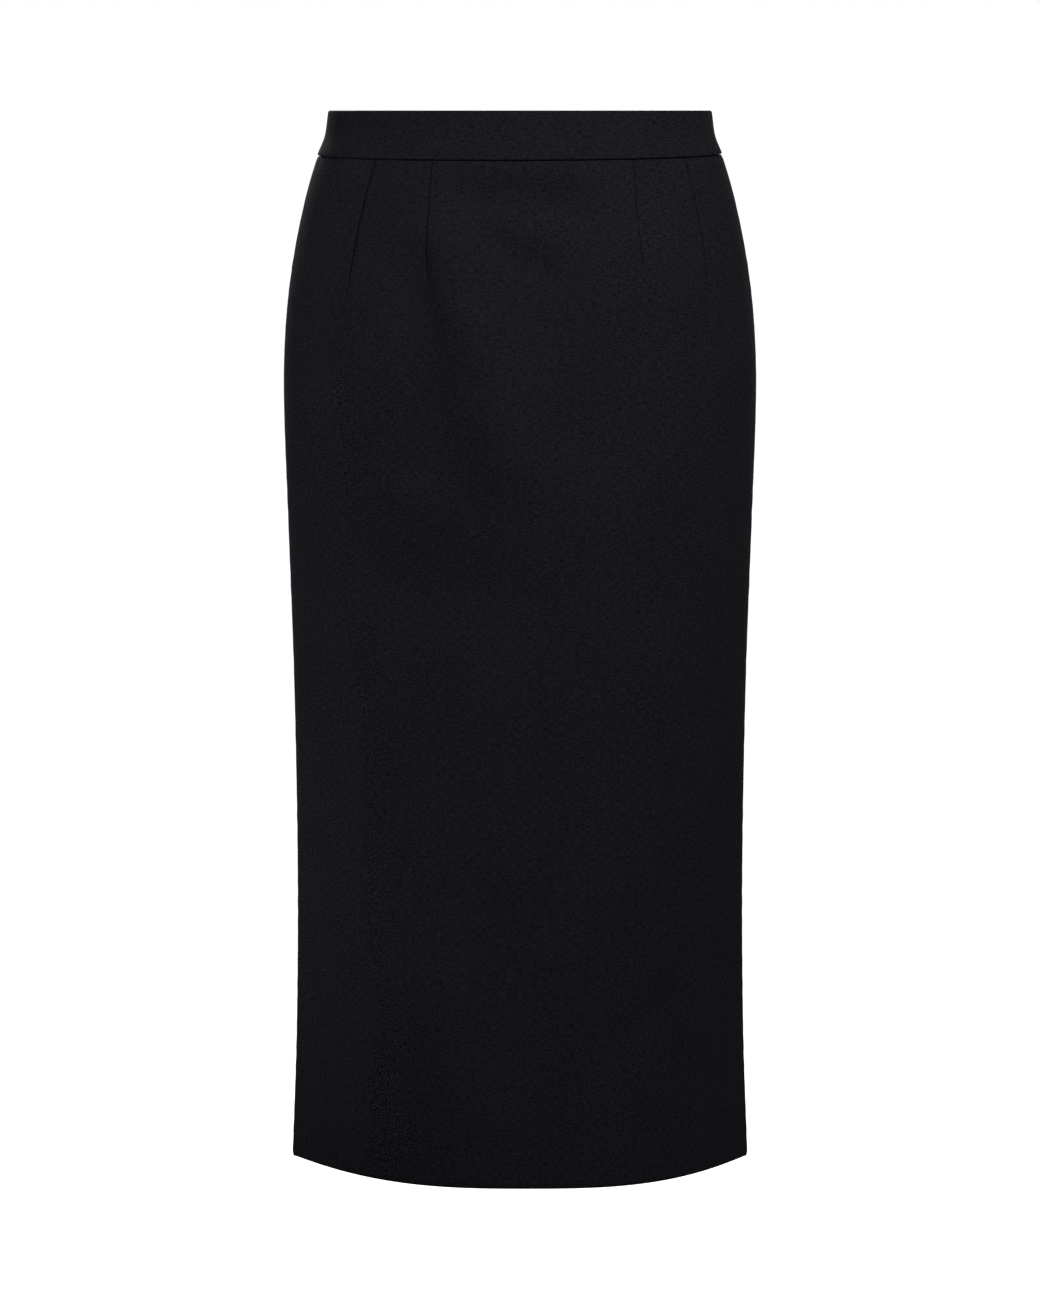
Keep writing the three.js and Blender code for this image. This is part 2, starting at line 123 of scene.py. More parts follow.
# A dart is a narrow crease in a soft valley, and the cloth turned in at it lifts the side towards the middle.
# The crease, the lift and the ripple grow from the point this many times faster than the valley. Away from
# the crease the lift grows between "from" and "to" and fades between "reach" and "end", and each of these two
# is given at the point, and how much more at the waist seam
DART_CREASE = 0.65
DART_GROWTH = {"press": 7, "tuck": 2, "ripple": 4}
DART_VALLEY = {"depth": 0.5, "width": 5.0}
DART_TUCK = {"rise": 0.3, "from": 0.2, "to": 1.4, "reach": (3.0, 7.0), "end": (6.0, 9.0)}
DART_COLUMNS = (0.0, 0.28, 0.6, 1.0, 1.6)
# The least cosine by which a distance across is turned into one along the cloth
STEEPEST = 0.35

# The slight ripple beside a sewn line, with how much slower its change is and how much of it is steady, and
# the heights over which it starts at a panel's side edges
PUCKER = {"rise": 0.16, "reach": 5.0, "pitch": 15.0, "slow": 3.7, "steady": 0.6}
PUCKER_PHASE = {"dart": 1.3, "edge": 0.7, "band": 0.4}
PUCKER_ON_BAND = 0.5
PUCKER_STARTS = (40.0, 80.0)

# The foot of the waistband: from the waist seam down, and the insets of its outer and inner faces
BAND_FOOT = (
    (-7, -0.5, 2),
    (-4, -0.5, 2.1),
    (-2, -0.5, 2.5),
    (-1, -0.46, 2.8),
    (-0.45, -0.25, 2.8),
    (-0.1, 0.15, 2.8),
    (0.05, 1, 2.8),
    (0.1, 2.15, 2.8),
    (4, 2.15, 2.8),
    (4.3, 2.25, 2.7),
    (4.4, 2.45, 2.45),
)
BAND_FOOT_HEIGHT = 7.0
BAND_DIMPLE = {"depth": 0.18, "at": 0.55, "width": 7.0}
SEAM_TOUCH = 0.65
WAIST_DITCH = {"depth": 0.5, "width": 2.0}
HEM_ROLL = {"depth": 1.1, "height": 4.5}

# How finely the cloth is drawn: its rows and the rounding of its rims, how near two corners are joined and
# how short an edge is taken out
BAND_ROWS = 12
PANEL_ROWS = 120
HEM_ROWS = {"count": 8, "last": 5.0, "edge": (3.6, 2.4, 1.5)}
RIM = 0.75
RIM_STEPS = 4
ARC_STEPS = 721
WELD = 0.000002
SLIVER = 0.0000005

# The concealed zip and the walking vent
ZIP_LENGTH = 205.0
TAPE = {"half": 13.0, "inner": 0.9, "cloth": 0.8, "inset": 2.2, "top": 2.5}
COIL = {
    "half": 1.6,
    "thick": 1.3,
    "inset": 3.4,
    "top": 14.5,
    "short_by": 2.0,
    "pitch": 1.3,
    "bar": 2.3,
    "radius": 0.45,
    "flat": 1.3,
    "sides": 10,
}
# The band's ends stand apart above the zip and close lower down
BAND_MOUTH = {"half": 1.05, "from": 10.0, "to": 25.0}
# The axis that the pull tab hangs on: below the top edge and out from the band
LUG = {"down": 6.6, "off": 1.9, "lean_step": 12.0}
PULL = {
    "length": 23.0,
    "thick": 1.2,
    "bar": 1.2,
    "slot_half": 1.2,
    "slot_length": 3.0,
    "foot": 2.8,
    "edge": 0.22,
    "edge_angle": 50,
    "edge_steps": 3,
    "rows": 20,
    "foot_rows": 8,
    "tip": 0.01,
}
# The pull tab from its top down: the distance, and half the width there
PULL_OUTLINE = ((0, 2.4), (5, 2.4), (7, 2.0), (9.5, 1.75), (12.5, 1.95), (16, 2.65))
VENT = {
    "top": 528.0,
    "lap": 38.0,
    "under": 10.0,
    "inset": 2.1,
    "cloth": 1.4,
    "short_by": 3.0,
    "over": 1.4,
    "lift": 1.6,
    "press": 0.3,
    "spread": 26.0,
    "blend": 45.0,
    "corner": 0.9,
    "corner_height": 120.0,
}
HEM_TURNING = 38.0
ALLOWANCE = 12.0
# The cloth is thicker where it is turned in, and the thickness changes over a short step
LAYER = {"one": 1.1, "two": 1.8, "step": 0.3, "step_columns": 0.4}

# The cloth's colour and how strongly its yarns show. Each yarn: how many fit in a metre along and down, how
# much finer detail it has, and where its pattern starts
CREPE = {
    "colour": (0.0122, 0.0113, 0.0144, 1),
    "crosswise": 1.1,
    "lengthwise": 0.9,
    "fleck": 1.3,
    "cloud": 0.2,
    "relief": 0.00008,
}
YARNS = {
    "weft": ((280, 1000), 0.6, (0, 0, 0)),
    "long weft": ((120, 1500), 0.0, (7, 3, 0)),
    "warp": ((1000, 300), 0.6, (19, 5, 0)),
    "fleck": ((950, 1000), 0.5, (3, 41, 0)),
    "cloud": ((24, 18), 2.0, (11, 13, 0)),
}
LONG_WEFT_SHARE = 0.3
DARKEST_YARN = 0.2
PLAIN_WEAVE = {"pitch": (0.00046, 0.0005), "tone": 0.16, "height": 0.5}
TAPE_RIB = {"pitch": (0.0008, 0.0006), "tone": 0.4, "relief": 0.0001, "uneven": (400, 900)}
ENAMEL_WEAR = {"rub": (260, 260, 900), "fine": (2200, 2200, 2200), "fine_share": 0.3}
ENAMEL_RELIEF = 0.00002

# The studio
CAMERA = {"away": 3.5, "tilt": 6.17, "lens": 138.2, "sensor": 36.0, "far": 200.0}
FLOOR = {
    "height": -1.06,
    "radius": 60.0,
    "sides": 64,
    "colour": (0.8, 0.8, 0.8),
    "bounce": (0.12, 0.12, 0.12),
    "glow": 1.0,
}
ROOM_LIGHT = 0.09
LIGHT_COLUMNS = ("name", "place", "aim", "size", "spread", "power")
LIGHTS = (
    ("Key", (0.72, -1.42, 0.75), (0, 0, -0.05), (0.6, 0.6), 180, 25.5),
    ("Side", (-1.5, -0.8, -0.29), (-0.15, 0.05, -0.33), (0.2, 0.83), 20, 0.54),
    ("Back key", (-0.55, 1.55, 0.7), (0, 0, -0.1), (0.6, 0.6), 180, 27),
    ("Back fill", (0.5, 1.45, 0.0), (0, 0, -0.2), (0.6, 0.6), 180, 3),
)


# The form of the cloth

def section(down):
    """Each column of SECTIONS at these heights, on a smooth curve through the rows."""
    table = np.array(SECTIONS, float)
    levels = table[:, 0]
    down = np.asarray(down, float)
    k = np.clip(np.searchsorted(levels, down, side="left") - 1, 0, len(levels) - 2)
    span = levels[k + 1] - levels[k]
    t = np.clip((down - levels[k]) / span, 0, 1)
    values = {}
    for n, column in enumerate(SECTION_COLUMNS[1:], start=1):
        row = table[:, n]
        before = np.clip(np.arange(len(row)) - 1, 0, None)
        after = np.clip(np.arange(len(row)) + 1, None, len(row) - 1)
        slope = (row[after] - row[before]) / (levels[after] - levels[before])
        curve = t * t * (3 - 2 * t) * (row[k + 1] - row[k])
        start = t * (1 - t) ** 2 * slope[k] * span
        finish = t * t * (t - 1) * slope[k + 1] * span
        values[column] = row[k] + curve + start + finish
    return values


def outline(angle, down, inset=0.0):
    """The plain section: across and back, inset from the outer face."""
    value = section(down)
    in_front = np.cos(angle) >= 0
    half = value["half"] - inset
    turn = np.where(in_front, FRONT_TURN / half * np.cos(angle), 0)
    full = np.clip(1 - np.abs(np.sin(angle)) ** value["square"], 0, 1) ** value["bulge"]
    side = value["side"]
    front = side - (value["front"] - inset + side) * full
    back = side + (value["back"] - inset - side) * full
    return half * np.sin(angle + turn), np.where(in_front, front, back)


def outward(angle, down, inset=0.0):
    """The direction that faces out of the plain section."""
    step = 0.001
    ahead_x, ahead_y = outline(angle + step, down, inset)
    behind_x, behind_y = outline(angle - step, down, inset)
    out_x, out_y = ahead_y - behind_y, behind_x - ahead_x
    size = np.hypot(out_x, out_y)
    return out_x / size, out_y / size


def smoothstep(value, low, high):
    t = np.clip((value - low) / (high - low), 0, 1)
    return t * t * (3 - 2 * t)


def fold_rise(folds, across, down):
    """How high the cloth stands on its folds."""
    total = np.zeros_like(across)
    for values in folds:
        fold = dict(zip(FOLD_COLUMNS, values))
        along_x = fold["to_across"] - fold["across"]
        along_y = fold["to_down"] - fold["down"]
        length = math.hypot(along_x, along_y)
        off_x, off_y = across - fold["across"], down - fold["down"]
        along = (off_x * along_x + off_y * along_y) / length
        t = np.clip(along / length, 0, 1)
        aside = (off_x * along_y - off_y * along_x) / length - 4 * fold["bow"] * t * (1 - t)
        wider = 1 + (fold["grow"] - 1) * t
        reach = np.where(aside > 0, fold["upper"], fold["lower"]) * wider
        past = (along - length * t) / ((fold["upper"] + fold["lower"]) / 2 * wider)
        total += fold["rise"] * np.exp(-((aside / reach) ** 2) - past**2)
    return total


def angle_across(across, down, on_back):
    """The angle of the point that lies so far across."""
    half = section(down)["half"]
    plain = np.arcsin(np.clip(across / half, -1, 1))
    if on_back:
        return math.pi - plain
    return plain - FRONT_TURN / half * np.cos(plain)


def waist_seam(angle):
    return BAND_SIDE + BAND_DIP * np.abs(np.cos(angle)) - BAND_TILT * np.sin(angle)


def arc_table(down, on_back):
    """Angles round one face of the body at a height, and the distance of each along the cloth."""
    middle = math.pi if on_back else 0.0
    angles = middle + np.linspace(-QUARTER, QUARTER, ARC_STEPS)
    x, y = outline(angles, np.full_like(angles, down))
    arcs = np.concatenate([[0], np.cumsum(np.hypot(np.diff(x), np.diff(y)))])
    return angles, arcs - np.interp(middle, angles, arcs)


def dart_across(dart, side, down):
    t = np.clip((down - BAND_SIDE) / (dart["down"] - BAND_SIDE), 0, 1)
    return side * (dart["top"] + (dart["point"] - dart["top"]) * t + 4 * dart["bow"] * t * (1 - t))


def dart_share(dart, down):
    """1 at the waist seam, 0 at the dart's point and below it."""
    return np.clip((dart["down"] - down) / (dart["down"] - BAND_SIDE), 0, 1)


def pucker(distance, along, phase):
    """The slight ripple beside a sewn line."""
    wave = np.sin(along * 2 * math.pi / PUCKER["pitch"] + phase)
    slow = np.sin(along * 2 * math.pi / (PUCKER["pitch"] * PUCKER["slow"]) + 2 * phase)
    uneven = wave * (PUCKER["steady"] + (1 - PUCKER["steady"]) * slow)
    return PUCKER["rise"] * uneven * np.exp(-np.abs(distance) / PUCKER["reach"])


# Slabs of cloth with rounded rims

def rim_offsets(rim=RIM):
    """Distances from a rim at which its rounding is drawn."""
    return [rim * (1 - math.cos(QUARTER * k / RIM_STEPS)) for k in range(RIM_STEPS + 1)]


def rim_share(distance, rim=RIM):
    """The share of the full thickness, so far from a rim."""
    t = np.clip(distance / rim, 0, 1)
    return np.sqrt(np.clip(1 - (1 - t) ** 2, 0, 1))


def finish_bmesh(name, mesh):
    data = bpy.data.meshes.new(name)
    mesh.to_mesh(data)
    mesh.free()
    piece = bpy.data.objects.new(name, data)
    bpy.context.scene.collection.objects.link(piece)
    return piece


def slab(name, place, columns, rows, grain):
    """A closed slab of two faces. place holds the points of the outer and the inner face, column by row, and
    grain holds where the weave is at each, all in millimetres."""
    mesh = bmesh.new()
    weave = mesh.loops.layers.uv.new("grain")
    for outer in (True, False):
        made = bmesh.ops.create_grid(mesh, x_segments=columns, y_segments=rows, size=0.5)["verts"]
        spot = {}
        for vert in made:
            i, j = round((vert.co.x + 0.5) * columns), round((vert.co.y + 0.5) * rows)
            spot[vert] = (i, j)
            vert.co = Vector(place[0 if outer else 1][i, j]) * MM
        faces = {face for vert in made for face in vert.link_faces}
        for face in faces:
            for loop in face.loops:
                i, j = spot[loop.vert]
                loop[weave].uv = (grain[i, j, 0] * MM, grain[i, j, 1] * MM)
        if outer:
            bmesh.ops.reverse_faces(mesh, faces=list(faces))
    bmesh.ops.remove_doubles(mesh, verts=mesh.verts, dist=WELD)
    bmesh.ops.dissolve_degenerate(mesh, edges=mesh.edges, dist=SLIVER)
    bmesh.ops.recalc_face_normals(mesh, faces=mesh.faces)
    for face in mesh.faces:
        face.smooth = True
    return finish_bmesh(name, mesh)


def cloth_points(angle, down, inset, rise):
    """Points of the cloth, inset from the plain outer face and raised on its folds."""
    x, y = outline(angle, down, inset)
    out_x, out_y = outward(angle, down, inset)
    return np.stack([x + out_x * rise, y + out_y * rise, -down], axis=-1)


def body_folds(angle, down, across):
    on_back = np.cos(angle) < 0
    rise = np.where(on_back, fold_rise(BACK_FOLDS, across, down), fold_rise(FRONT_FOLDS, across, down))
    side_fade = 1 - np.abs(np.sin(angle)) ** SIDE_FADE
    top = BAND_SIDE + BAND_DIP
    return rise * side_fade * smoothstep(down, top, top + FOLD_FADE)


def shell(name, angle, down, arc, outer, inner, rise):
    """A closed slab of cloth between two insets from the plain outer face."""
    faces = [cloth_points(angle, down, inset, rise) for inset in (outer, inner)]
    grain = np.stack([arc, -down], axis=-1)
    return slab(name, faces, angle.shape[0] - 1, angle.shape[1] - 1, grain)


def between(start, finish, steps):
    """Places between start millimetres after one line and finish before the next, as (share, more)."""
    shares = [0.5 - 0.5 * math.cos(math.pi * k / steps) for k in range(1, steps)]
    return [(share, start - (start + finish) * share) for share in shares]


def panel_columns(dart_count, steps):
    """The columns of a panel, as (gap between two lines, share of it, millimetres more)."""
    near_edge = rim_offsets() + [ALLOWANCE - LAYER["step_columns"], ALLOWANCE + LAYER["step_columns"]]
    columns = []
    for gap in range(dart_count + 1):
        first = near_edge if gap == 0 else DART_COLUMNS
        last = near_edge if gap == dart_count else DART_COLUMNS[1:]
        columns += [(gap, 0.0, offset) for offset in first]
        columns += [(gap, *place) for place in between(first[-1], last[-1], steps[gap])]
        columns += [(gap, 1.0, -offset) for offset in reversed(last)]
    return columns


def panel_rows():
    """The rows of a panel from the waist seam to the hem, as (share, millimetres more)."""
    top = rim_offsets()
    turning = HEM_TURNING + LAYER["step_columns"]
    below = HEM_TURNING - LAYER["step_columns"]
    rows = [(0.0, offset) for offset in top]
    rows += between(top[-1], turning, PANEL_ROWS)
    rows += [(1.0, -turning)]
    rows += [(1.0, -offset) for offset in np.linspace(below, HEM_ROWS["last"], HEM_ROWS["count"])]
    rows += [(1.0, -offset) for offset in HEM_ROWS["edge"]]
    rows += [(1.0, -offset) for offset in reversed(top)]
    return rows


def vent_share(down):
    return smoothstep(down, VENT["top"], VENT["top"] + VENT["blend"])


def panel_places(on_back, edges, darts, side, columns, rows, middle_at):
    """Where a panel's columns and rows lie: angle, down and arc, and how far each point is from the panel's
    side edges."""
    angle, down, arc, edge = (np.zeros((len(columns), len(rows))) for _ in range(4))
    lines = [edges[0], *darts, edges[1]]
    top_angle = None
    for j, (share, offset) in enumerate([(0.0, 0.0)] + rows):
        nominal = BAND_SIDE + (LENGTH - BAND_SIDE) * share + offset
        angles, arcs = arc_table(nominal, on_back)
        at = []
        for line in lines:
            if isinstance(line, dict):
                level = min(nominal, line["down"])
                line = angle_across(dart_across(line, side, nominal), level, on_back)
            at.append(float(np.interp(line, angles, arcs)))
        if middle_at == "first":
            at[0] -= VENT["over"] * vent_share(nominal)
        spots = np.array([at[g] + (at[g + 1] - at[g]) * t + off for g, t, off in columns])
        found = np.interp(spots, arcs, angles)
        if top_angle is None:
            top_angle = found
            continue
        top = waist_seam(top_angle) + SEAM_TOUCH
        angle[:, j - 1] = found
        arc[:, j - 1] = spots
        down[:, j - 1] = top + (LENGTH - top) * share + offset
        edge[:, j - 1] = np.minimum(spots - at[0], at[-1] - spots)
    return angle, down, arc, edge


def dart_rise(dart, side, phase, angle, down, across):
    """How the cloth stands along a dart: crease, valley, turning and slight ripple."""
    line = dart_across(dart, side, down)
    off = (across - line) / np.maximum(np.abs(np.cos(angle)), STEEPEST)
    share = dart_share(dart, down)
    rise = -dart["press"] * np.minimum(1, DART_GROWTH["press"] * share) * np.exp(-((off / DART_CREASE) ** 2))
    rise -= DART_VALLEY["depth"] * share * np.exp(-((off / DART_VALLEY["width"]) ** 2))
    inward = -np.sign(line) * off
    reach, end = (low + more * share for low, more in (DART_TUCK["reach"], DART_TUCK["end"]))
    tuck = smoothstep(inward, DART_TUCK["from"], DART_TUCK["to"]) * (1 - smoothstep(inward, reach, end))
    rise += DART_TUCK["rise"] * np.minimum(1, DART_GROWTH["tuck"] * share) * tuck
    rise += pucker(off, down, phase) * np.minimum(1, DART_GROWTH["ripple"] * share)
    return rise


def vent_rise(down, middle, laps_over):
    """How the cloth stands beside the vent, on the side that laps over or on the one beneath."""
    near = vent_share(down) * np.exp(-((middle / VENT["spread"]) ** 2))
    if laps_over:
        corner = smoothstep(down, LENGTH - VENT["corner_height"], LENGTH)
        return (VENT["lift"] + VENT["corner"] * corner) * near
    return -VENT["press"] * near


def panel(name, on_back, edges, darts, side, steps, middle_at=None):
    """A panel from the waist seam to the hem, between two edges, with its darts pressed in. middle_at is the
    column, first or last, that lies at the centre back."""
    columns, rows = panel_columns(len(darts), steps), panel_rows()
    angle, down, arc, edge = panel_places(on_back, edges, darts, side, columns, rows, middle_at)
    across = outline(angle, down)[0]
    from_top, from_hem = down - down[:, :1], down[:, -1:] - down
    rise = body_folds(angle, down, across)
    for n, dart in enumerate(darts):
        rise += dart_rise(dart, side, PUCKER_PHASE["dart"] * n, angle, down, across)
    rise += pucker(edge, down, PUCKER_PHASE["edge"]) * smoothstep(down, *PUCKER_STARTS)
    rise -= WAIST_DITCH["depth"] * np.exp(-((from_top / WAIST_DITCH["width"]) ** 2))
    rise -= HEM_ROLL["depth"] * np.clip(1 - from_hem / HEM_ROLL["height"], 0, 1) ** 2
    if middle_at:
        rise += vent_rise(down, np.abs(arc), middle_at == "first")
    round_edge = rim_share(np.minimum(edge, np.minimum(from_top, from_hem)))
    step = LAYER["step"]
    in_seam = 1 - smoothstep(edge, ALLOWANCE - step, ALLOWANCE + step)
    in_hem = smoothstep(down, LENGTH - HEM_TURNING - step, LENGTH - HEM_TURNING + step)
    back_face = LAYER["one"] + (LAYER["two"] - LAYER["one"]) * np.maximum(in_seam, in_hem)
    core = LAYER["two"] / 2
    outer = core * (1 - round_edge)
    inner = core + (back_face - core) * round_edge
    return shell(name, angle, down, arc, outer, inner, rise)


def band_rows():
    """The band's profile down from its folded top edge: the share of its height, millimetres more, and the
    insets of its outer and inner faces. The inner layer ends in a lip below the waist seam."""
    fold = BAND_CLOTH / 2
    outer, inner = -BAND_PROUD, BAND_CLOTH - BAND_PROUD
    middle = (outer + inner) / 2
    rows = []
    for k in range(RIM_STEPS + 1):
        turn = QUARTER * k / RIM_STEPS
        half = fold * math.sin(turn)
        rows.append((0.0, fold * (1 - math.cos(turn)), middle - half, middle + half))
    rows += [(*place, outer, inner) for place in between(fold, BAND_FOOT_HEIGHT, BAND_ROWS)]
    rows += [(1.0, *profile) for profile in BAND_FOOT]
    return rows


def band(name, start, end, steps):
    """A length of the waistband, folded over at its top edge."""
    rim = BAND_CLOTH / 2
    close = rim_offsets(rim)
    columns = [(0.0, offset) for offset in close]
    columns += between(rim, rim, steps)
    columns += [(1.0, -offset) for offset in reversed(close)]
    rows = band_rows()
    count = (len(columns), len(rows))
    angle, down, arc, edge, outer, inner = (np.zeros(count) for _ in range(6))
    on_back = math.cos((start + end) / 2) < 0
    for j, (share, offset, outer_inset, inner_inset) in enumerate(rows):
        nominal = BAND_SIDE * share + offset
        angles, arcs = arc_table(nominal, on_back)
        at = np.interp([start, end], angles, arcs)
        if on_back:
            closed = smoothstep(nominal, BAND_MOUTH["from"], BAND_MOUTH["to"])
            mouth = BAND_MOUTH["half"] * (1 - closed)
            if start == math.pi:
                at[0] += mouth
            else:
                at[1] -= mouth
        spots = np.array([at[0] + (at[1] - at[0]) * t + off for t, off in columns])
        angle[:, j] = np.interp(spots, arcs, angles)
        arc[:, j] = spots
        down[:, j] = waist_seam(angle[:, j]) * share + offset
        edge[:, j] = np.minimum(spots - at[0], at[1] - spots)
        outer[:, j], inner[:, j] = outer_inset, inner_inset
    middle = (outer + inner) / 2
    half = (inner - outer) / 2 * rim_share(edge, rim)
    dimple = (down - BAND_DIMPLE["at"] * BAND_SIDE) / BAND_DIMPLE["width"]
    rise = PUCKER_ON_BAND * pucker(waist_seam(angle) - down, arc, PUCKER_PHASE["band"])
    rise -= BAND_DIMPLE["depth"] * np.exp(-(dimple**2))
    return shell(name, angle, down, arc, middle - half, middle + half, rise)


def strip(name, start, end, top, bottom, inset, cloth, columns, rows):
    """A strip at the centre back, under the cloth, between two places across."""
    rim = min(RIM, cloth / 2)
    close = rim_offsets(rim)
    wide, tall = end - start, bottom - top
    spots = close + list(np.linspace(rim, wide - rim, columns + 1)[1:-1])
    spots += [wide - offset for offset in reversed(close)]
    levels = close + list(np.linspace(rim, tall - rim, rows + 1)[1:-1])
    levels += [tall - offset for offset in reversed(close)]
    off, below = np.meshgrid(spots, levels, indexing="ij")
    reach = np.minimum(np.minimum(off, wide - off), np.minimum(below, tall - below))
    half = cloth / 2 * rim_share(reach, rim)
    across, down = start + off, top + below
    angle = angle_across(across, down, True)
    middle = inset + cloth / 2
    rise = body_folds(angle, down, across)
    return shell(name, angle, down, across, middle - half, middle + half, rise)


# The pieces of cloth
front = panel("Front", False, (-QUARTER, QUARTER), FRONT_DARTS, side=1, steps=(16, 14, 34, 14, 16))
left_side, centre_back, right_side = QUARTER, math.pi, 3 * QUARTER
back_left = panel(
    "Back_left",
    True,
    (left_side, centre_back),
    BACK_DARTS,
    side=1,
    steps=(16, 14, 16),
    middle_at="last",
)
back_right = panel(
    "Back_right",
    True,
    (centre_back, right_side),
    BACK_DARTS[::-1],
    side=-1,
    steps=(16, 14, 16),
    middle_at="first",
)
band_front = band("Waistband_front", -QUARTER, QUARTER, steps=90)
band_left = band("Waistband_back_left", left_side, centre_back, steps=45)
band_right = band("Waistband_back_right", centre_back, right_side, steps=45)
underlap = strip(
    "Vent_underlap",
    -VENT["lap"],
    VENT["under"],
    VENT["top"],
    LENGTH - VENT["short_by"],
    VENT["inset"],
    VENT["cloth"],
    columns=16,
    rows=50,
)


def tape(name, start):
    end = start + TAPE["half"] - TAPE["inner"]
    place = (start, end, TAPE["top"], ZIP_LENGTH, TAPE["inset"], TAPE["cloth"])
    return strip(name, *place, columns=8, rows=60)


tapes = [tape("Zip_tape_left", TAPE["inner"]), tape("Zip_tape_right", -TAPE["half"])]


def back_middle(down, inset):
    """How far back the middle of the back is."""
    return float(outline(np.array(math.pi), np.array(down), inset)[1])


def coil():
    """The nylon coil: loops from either tape that lock between each other."""
    mesh = bmesh.new()
    length = ZIP_LENGTH - COIL["short_by"] - COIL["top"]
    for k in range(int(length / COIL["pitch"])):
        down = COIL["top"] + (k + 0.5) * COIL["pitch"]
        side = 1 if k % 2 else -1
        middle_across = side * (COIL["half"] - COIL["bar"] / 2)
        y = back_middle(down, COIL["inset"] + COIL["thick"] / 2)
        place = Matrix.Translation(Vector((middle_across, y, -down)) * MM)
        turn = Matrix.Rotation(QUARTER, 4, "Y")
        flat = Matrix.Diagonal((1, COIL["flat"], 1, 1))
        bmesh.ops.create_cone(
            mesh,
            cap_ends=True,
            segments=COIL["sides"],
            radius1=COIL["radius"] * MM,
            radius2=COIL["radius"] * MM,
            depth=COIL["bar"] * MM,
            matrix=place @ flat @ turn,
        )
    for face in mesh.faces:
        face.smooth = len(face.verts) == 4
    return finish_bmesh("Zip_coil", mesh)


def pull_half(below):
    """Half the width of the pull tab, so far below its top."""
    foot_centre = PULL["length"] - PULL["foot"]
    levels, halves = zip(*PULL_OUTLINE, (foot_centre, PULL["foot"]))
    if below <= foot_centre:
        return float(np.interp(below, levels, halves))
    return math.sqrt(max(PULL["foot"] ** 2 - (below - foot_centre) ** 2, 0.0))


def pull():
    """The pull tab, hung by its slot from the slider's lug."""
    bar, slot_length = PULL["bar"], PULL["slot_length"]
    foot, foot_rows = PULL["foot"], PULL["foot_rows"]
    foot_centre = PULL["length"] - foot
    levels = [0, bar / 2, bar, *(bar + slot_length * k / 3 for k in (1, 2, 3))]
    levels += list(np.linspace(levels[-1], foot_centre, PULL["rows"])[1:])
    levels += [foot_centre + foot * math.sin(QUARTER * k / foot_rows) for k in range(1, foot_rows)]
    levels.append(PULL["length"] - PULL["tip"])
    columns, rows = 4, len(levels) - 1
    mesh = bmesh.new()
    grid = bmesh.ops.create_grid(mesh, x_segments=columns, y_segments=rows, size=0.5)["verts"]
    for vert in grid:
        i, j = round((vert.co.x + 0.5) * columns), round((0.5 - vert.co.y) * rows)
        half = pull_half(levels[j])
        slot = min(PULL["slot_half"], half / 2)
        across = (-half, -slot, 0, slot, half)[i]
        vert.co = Vector((across, -PULL["thick"] / 2, bar / 2 - levels[j])) * MM
    slot_top = -bar / 2
    slot_foot = slot_top - slot_length
    inside = []
    for face in mesh.faces:
        centre = face.calc_center_median() / MM
        if abs(centre.x) < PULL["slot_half"] and slot_foot < centre.z < slot_top:
            inside.append(face)
    bmesh.ops.delete(mesh, geom=inside, context="FACES")
    moved = bmesh.ops.extrude_face_region(mesh, geom=list(mesh.faces))["geom"]
    for vert in (g for g in moved if isinstance(g, bmesh.types.BMVert)):
        vert.co.y += PULL["thick"] * MM
    bmesh.ops.recalc_face_normals(mesh, faces=mesh.faces)
    y = back_middle(LUG["down"], -BAND_PROUD)
    low_y = back_middle(LUG["down"] + LUG["lean_step"], -BAND_PROUD)
    lean = math.atan2(low_y - y, LUG["lean_step"])
    place = Vector((0, y + LUG["off"], -LUG["down"])) * MM
    hung = Matrix.Translation(place) @ Matrix.Rotation(lean, 4, "X")
    bmesh.ops.transform(mesh, matrix=hung, verts=mesh.verts)
    for face in mesh.faces:
        face.smooth = True
    piece = finish_bmesh("Pull_tab", mesh)
    edge = piece.modifiers.new("Rounded edge", "BEVEL")
    edge.width = PULL["edge"] * MM
    edge.segments = PULL["edge_steps"]
    edge.limit_method = "ANGLE"
    edge.angle_limit = math.radians(PULL["edge_angle"])
    edge.harden_normals = True
    return piece


zip_coil = coil()
pull_tab = pull()


# Finishes

def feed(tree, socket, value):
    if isinstance(value, bpy.types.NodeSocket):
        tree.links.new(value, socket)
    else:
        socket.default_value = value


def calc(tree, operation, *values):
    node = tree.nodes.new("ShaderNodeMath")
    node.operation = operation
    for socket, value in zip(node.inputs, values):
        feed(tree, socket, value)
    return node.outputs[0]


def scaled(tree, vector, factors, shift=(0, 0, 0)):
    node = tree.nodes.new("ShaderNodeVectorMath")
    node.operation = "MULTIPLY_ADD"
    feed(tree, node.inputs[0], vector)
    node.inputs[1].default_value = factors
    node.inputs[2].default_value = shift
    return node.outputs[0]


def noise(tree, vector, cells, detail=0.0, shift=(0, 0, 0)):
    """Noise about zero, from -0.5 to 0.5; cells is how many fit in a metre each way."""
    node = tree.nodes.new("ShaderNodeTexNoise")
    node.noise_dimensions = "2D" if len(cells) == 2 else "3D"
    node.inputs["Scale"].default_value = 1.0
    node.inputs["Detail"].default_value = detail
    feed(tree, node.inputs["Vector"], scaled(tree, vector, (*cells, 0)[:3], shift))
    return calc(tree, "SUBTRACT", node.outputs[0], 0.5)


def group(name, inputs, outputs):
    """A new node group, its input sockets by name, and its output node."""
    tree = bpy.data.node_groups.new(name, "ShaderNodeTree")
    for label, kind, value in inputs:
        socket = tree.interface.new_socket(label, in_out="INPUT", socket_type=kind)
        if value is not None:
            socket.default_value = value
    for label, kind in outputs:
        tree.interface.new_socket(label, in_out="OUTPUT", socket_type=kind)
    start = tree.nodes.new("NodeGroupInput")
    end = tree.nodes.new("NodeGroupOutput")
    return tree, {s.name: s for s in start.outputs if s.name}, end


